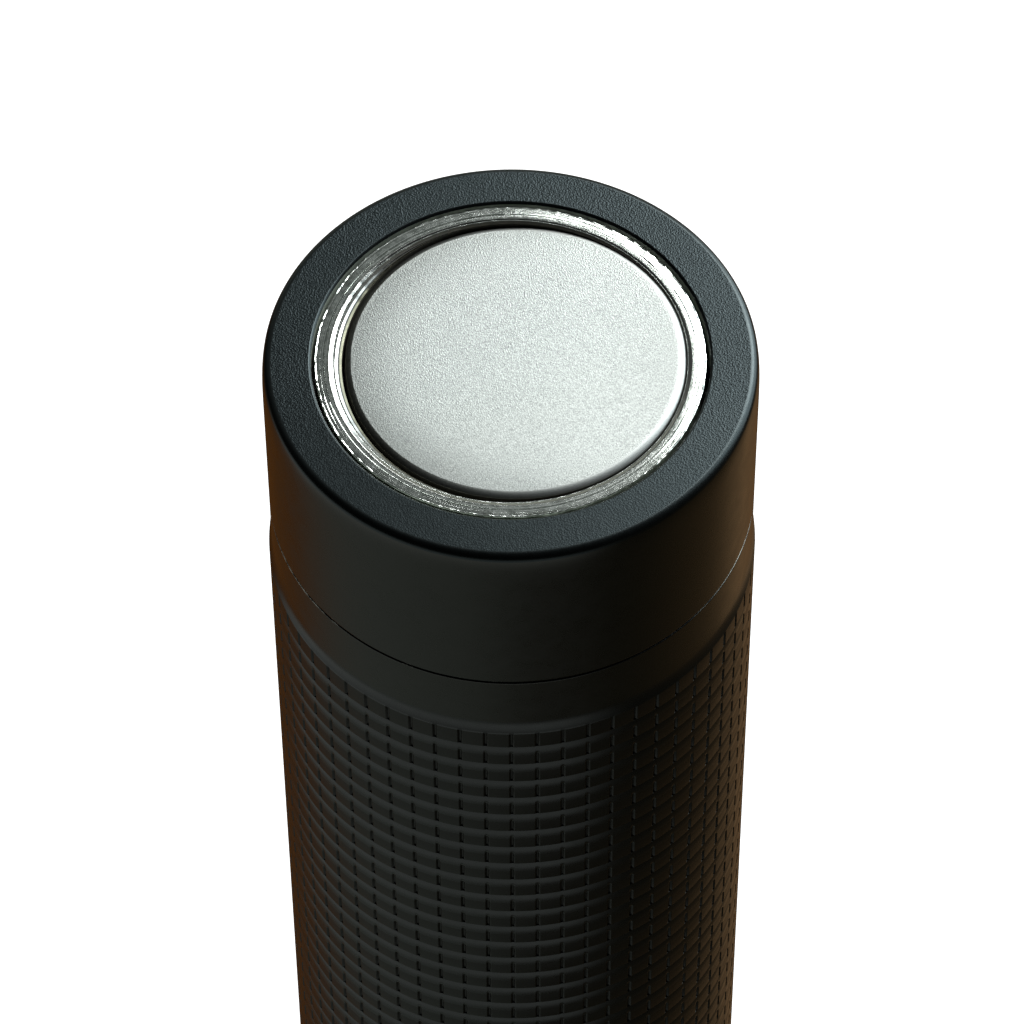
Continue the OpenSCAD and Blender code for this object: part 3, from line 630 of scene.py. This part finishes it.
world = bpy.data.worlds.new("studio")
scene.world = world
world.use_nodes = True
nt = world.node_tree
nt.nodes.clear()
out = nt.nodes.new("ShaderNodeOutputWorld")
mix = nt.nodes.new("ShaderNodeMixShader")
path = nt.nodes.new("ShaderNodeLightPath")
seen = nt.nodes.new("ShaderNodeBackground")
seen.inputs["Color"].default_value = (1, 1, 1, 1)
room = nt.nodes.new("ShaderNodeBackground")
gen = nt.nodes.new("ShaderNodeTexCoord")
around = nt.nodes.new("ShaderNodeVectorMath")
around.operation = "MULTIPLY"
around.inputs[1].default_value = (1, 1, 0)
nt.links.new(gen.outputs["Generated"], around.inputs[0])
level = nt.nodes.new("ShaderNodeVectorMath")
level.operation = "NORMALIZE"
nt.links.new(around.outputs[0], level.inputs[0])
sep = nt.nodes.new("ShaderNodeSeparateXYZ")
nt.links.new(gen.outputs["Generated"], sep.inputs[0])


def step(value, a, b):
    """Rises smoothly from 0 at a to 1 at b."""
    n = nt.nodes.new("ShaderNodeMapRange")
    n.interpolation_type = "SMOOTHSTEP"
    flip = b < a
    n.inputs["From Min"].default_value, n.inputs["From Max"].default_value = (b, a) if flip else (a, b)
    n.inputs["To Min"].default_value, n.inputs["To Max"].default_value = (1, 0) if flip else (0, 1)
    nt.links.new(value, n.inputs["Value"])
    return n.outputs[0]


def times(a, b):
    n = nt.nodes.new("ShaderNodeMath")
    n.operation = "MULTIPLY"
    nt.links.new(a, n.inputs[0])
    nt.links.new(b, n.inputs[1])
    return n.outputs[0]


def glow_patch(under, turn, half, low, high, colour):
    """A soft wall of light far away: turn is its middle in degrees from the front towards +X, half the
    degrees at which it starts and stops to fade, low and high the heights in degrees between which it fades."""
    a = math.radians(turn)
    dot = nt.nodes.new("ShaderNodeVectorMath")
    dot.operation = "DOT_PRODUCT"
    dot.inputs[1].default_value = (math.sin(a), -math.cos(a), 0)
    nt.links.new(level.outputs[0], dot.inputs[0])
    f = step(dot.outputs["Value"], math.cos(math.radians(half[1])), math.cos(math.radians(half[0])))
    if low:
        f = times(f, step(sep.outputs["Z"], math.sin(math.radians(low[0])), math.sin(math.radians(low[1]))))
    f = times(f, step(sep.outputs["Z"], math.sin(math.radians(high[1])), math.sin(math.radians(high[0]))))
    n = nt.nodes.new("ShaderNodeMix")
    n.data_type = "RGBA"
    n.inputs["B"].default_value = (*colour, 1)
    nt.links.new(f, n.inputs["Factor"])
    nt.links.new(under, n.inputs["A"])
    return n.outputs["Result"]


sky = ramp(nt, step(sep.outputs["Z"], -0.2, 0.2), [(0.0, (0.030, 0.027, 0.018)), (1.0, (0.014, 0.015, 0.015))])
sky = glow_patch(sky, 180, (35, 75), (15, 35), (88, 90), (0.10, 0.11, 0.105))
sky = glow_patch(sky, 150, (30, 97), None, (-30, -12), (0.086, 0.054, 0.025))
sky = glow_patch(sky, 178, (0, 70), None, (-30, -12), (0.50, 0.31, 0.155))
sky = glow_patch(sky, -150, (35, 85), None, (-30, -12), (0.13, 0.047, 0.008))
sky = glow_patch(sky, -55, (10, 70), None, (-45, -25), (0.15, 0.17, 0.15))
sky = glow_patch(sky, -75, (15, 50), (-49, -41), (-18, -6), (0.46, 0.49, 0.47))
sky = glow_patch(sky, -20, (30, 65), (-51, -41), (-28, -2), (0.46, 0.49, 0.47))
sky = glow_patch(sky, 180, (25, 45), (-8, 2), (18, 32), (0.42, 0.45, 0.39))
sky = glow_patch(sky, 130, (18, 30), (0, 8), (48, 58), (3.1, 3.55, 3.65))
nt.links.new(sky, room.inputs["Color"])
nt.links.new(path.outputs["Is Camera Ray"], mix.inputs[0])
nt.links.new(room.outputs[0], mix.inputs[1])
nt.links.new(seen.outputs[0], mix.inputs[2])
nt.links.new(mix.outputs[0], out.inputs[0])


def softbox(name, at, target, width, height, radiance, color=(1, 1, 1)):
    """A soft area light, places in mm; radiance is what a mirror would show."""
    li = bpy.data.lights.new(name, "AREA")
    li.shape = "RECTANGLE"
    li.size, li.size_y = width / 1000, height / 1000
    li.energy = radiance * math.pi * li.size * li.size_y
    li.color = color
    ob = bpy.data.objects.new(name, li)
    ob.location = Vector(at) / 1000
    ob.rotation_mode = "QUATERNION"
    ob.rotation_quaternion = (Vector(target) / 1000 - ob.location).to_track_quat("-Z", "Y")
    ob.visible_camera = False
    scene.collection.objects.link(ob)
    return ob


key = softbox("key_top", (109, 161, TOP + 163), (109, 161, TOP), 180, 104, 13.3, (0.97, 1.0, 0.98))
key.rotation_mode = "XYZ"
key.rotation_euler = (0, 0, 0.334)

# ------------------------------------------------------------------ camera
cam = bpy.data.objects.new("camera", bpy.data.cameras.new("camera"))
cam.data.sensor_fit = "HORIZONTAL"
cam.data.sensor_width = 36.0
cam.data.lens = 5773.618 / 1024 * 36.0
cam.data.clip_start, cam.data.clip_end = 0.01, 20.0
pitch, yaw, roll = math.radians(53.5595), math.radians(-0.0224), -0.007746
fwd = Vector((math.sin(yaw) * math.cos(pitch), math.cos(yaw) * math.cos(pitch), -math.sin(pitch)))
right = Vector((math.cos(yaw), -math.sin(yaw), 0.0))
above = right.cross(fwd)
c, s = math.cos(roll), math.sin(roll)
r2, u2 = c * right + s * above, c * above - s * right
where = Vector((0.0877, -206.2974, 264.2601 + TOP))
cam.matrix_world = Matrix(((r2.x, u2.x, -fwd.x, where.x / 1000), (r2.y, u2.y, -fwd.y, where.y / 1000), (r2.z, u2.z, -fwd.z, where.z / 1000), (0, 0, 0, 1)))
scene.collection.objects.link(cam)
scene.camera = cam
scene.view_settings.view_transform = "Standard"
scene.view_settings.look = "None"
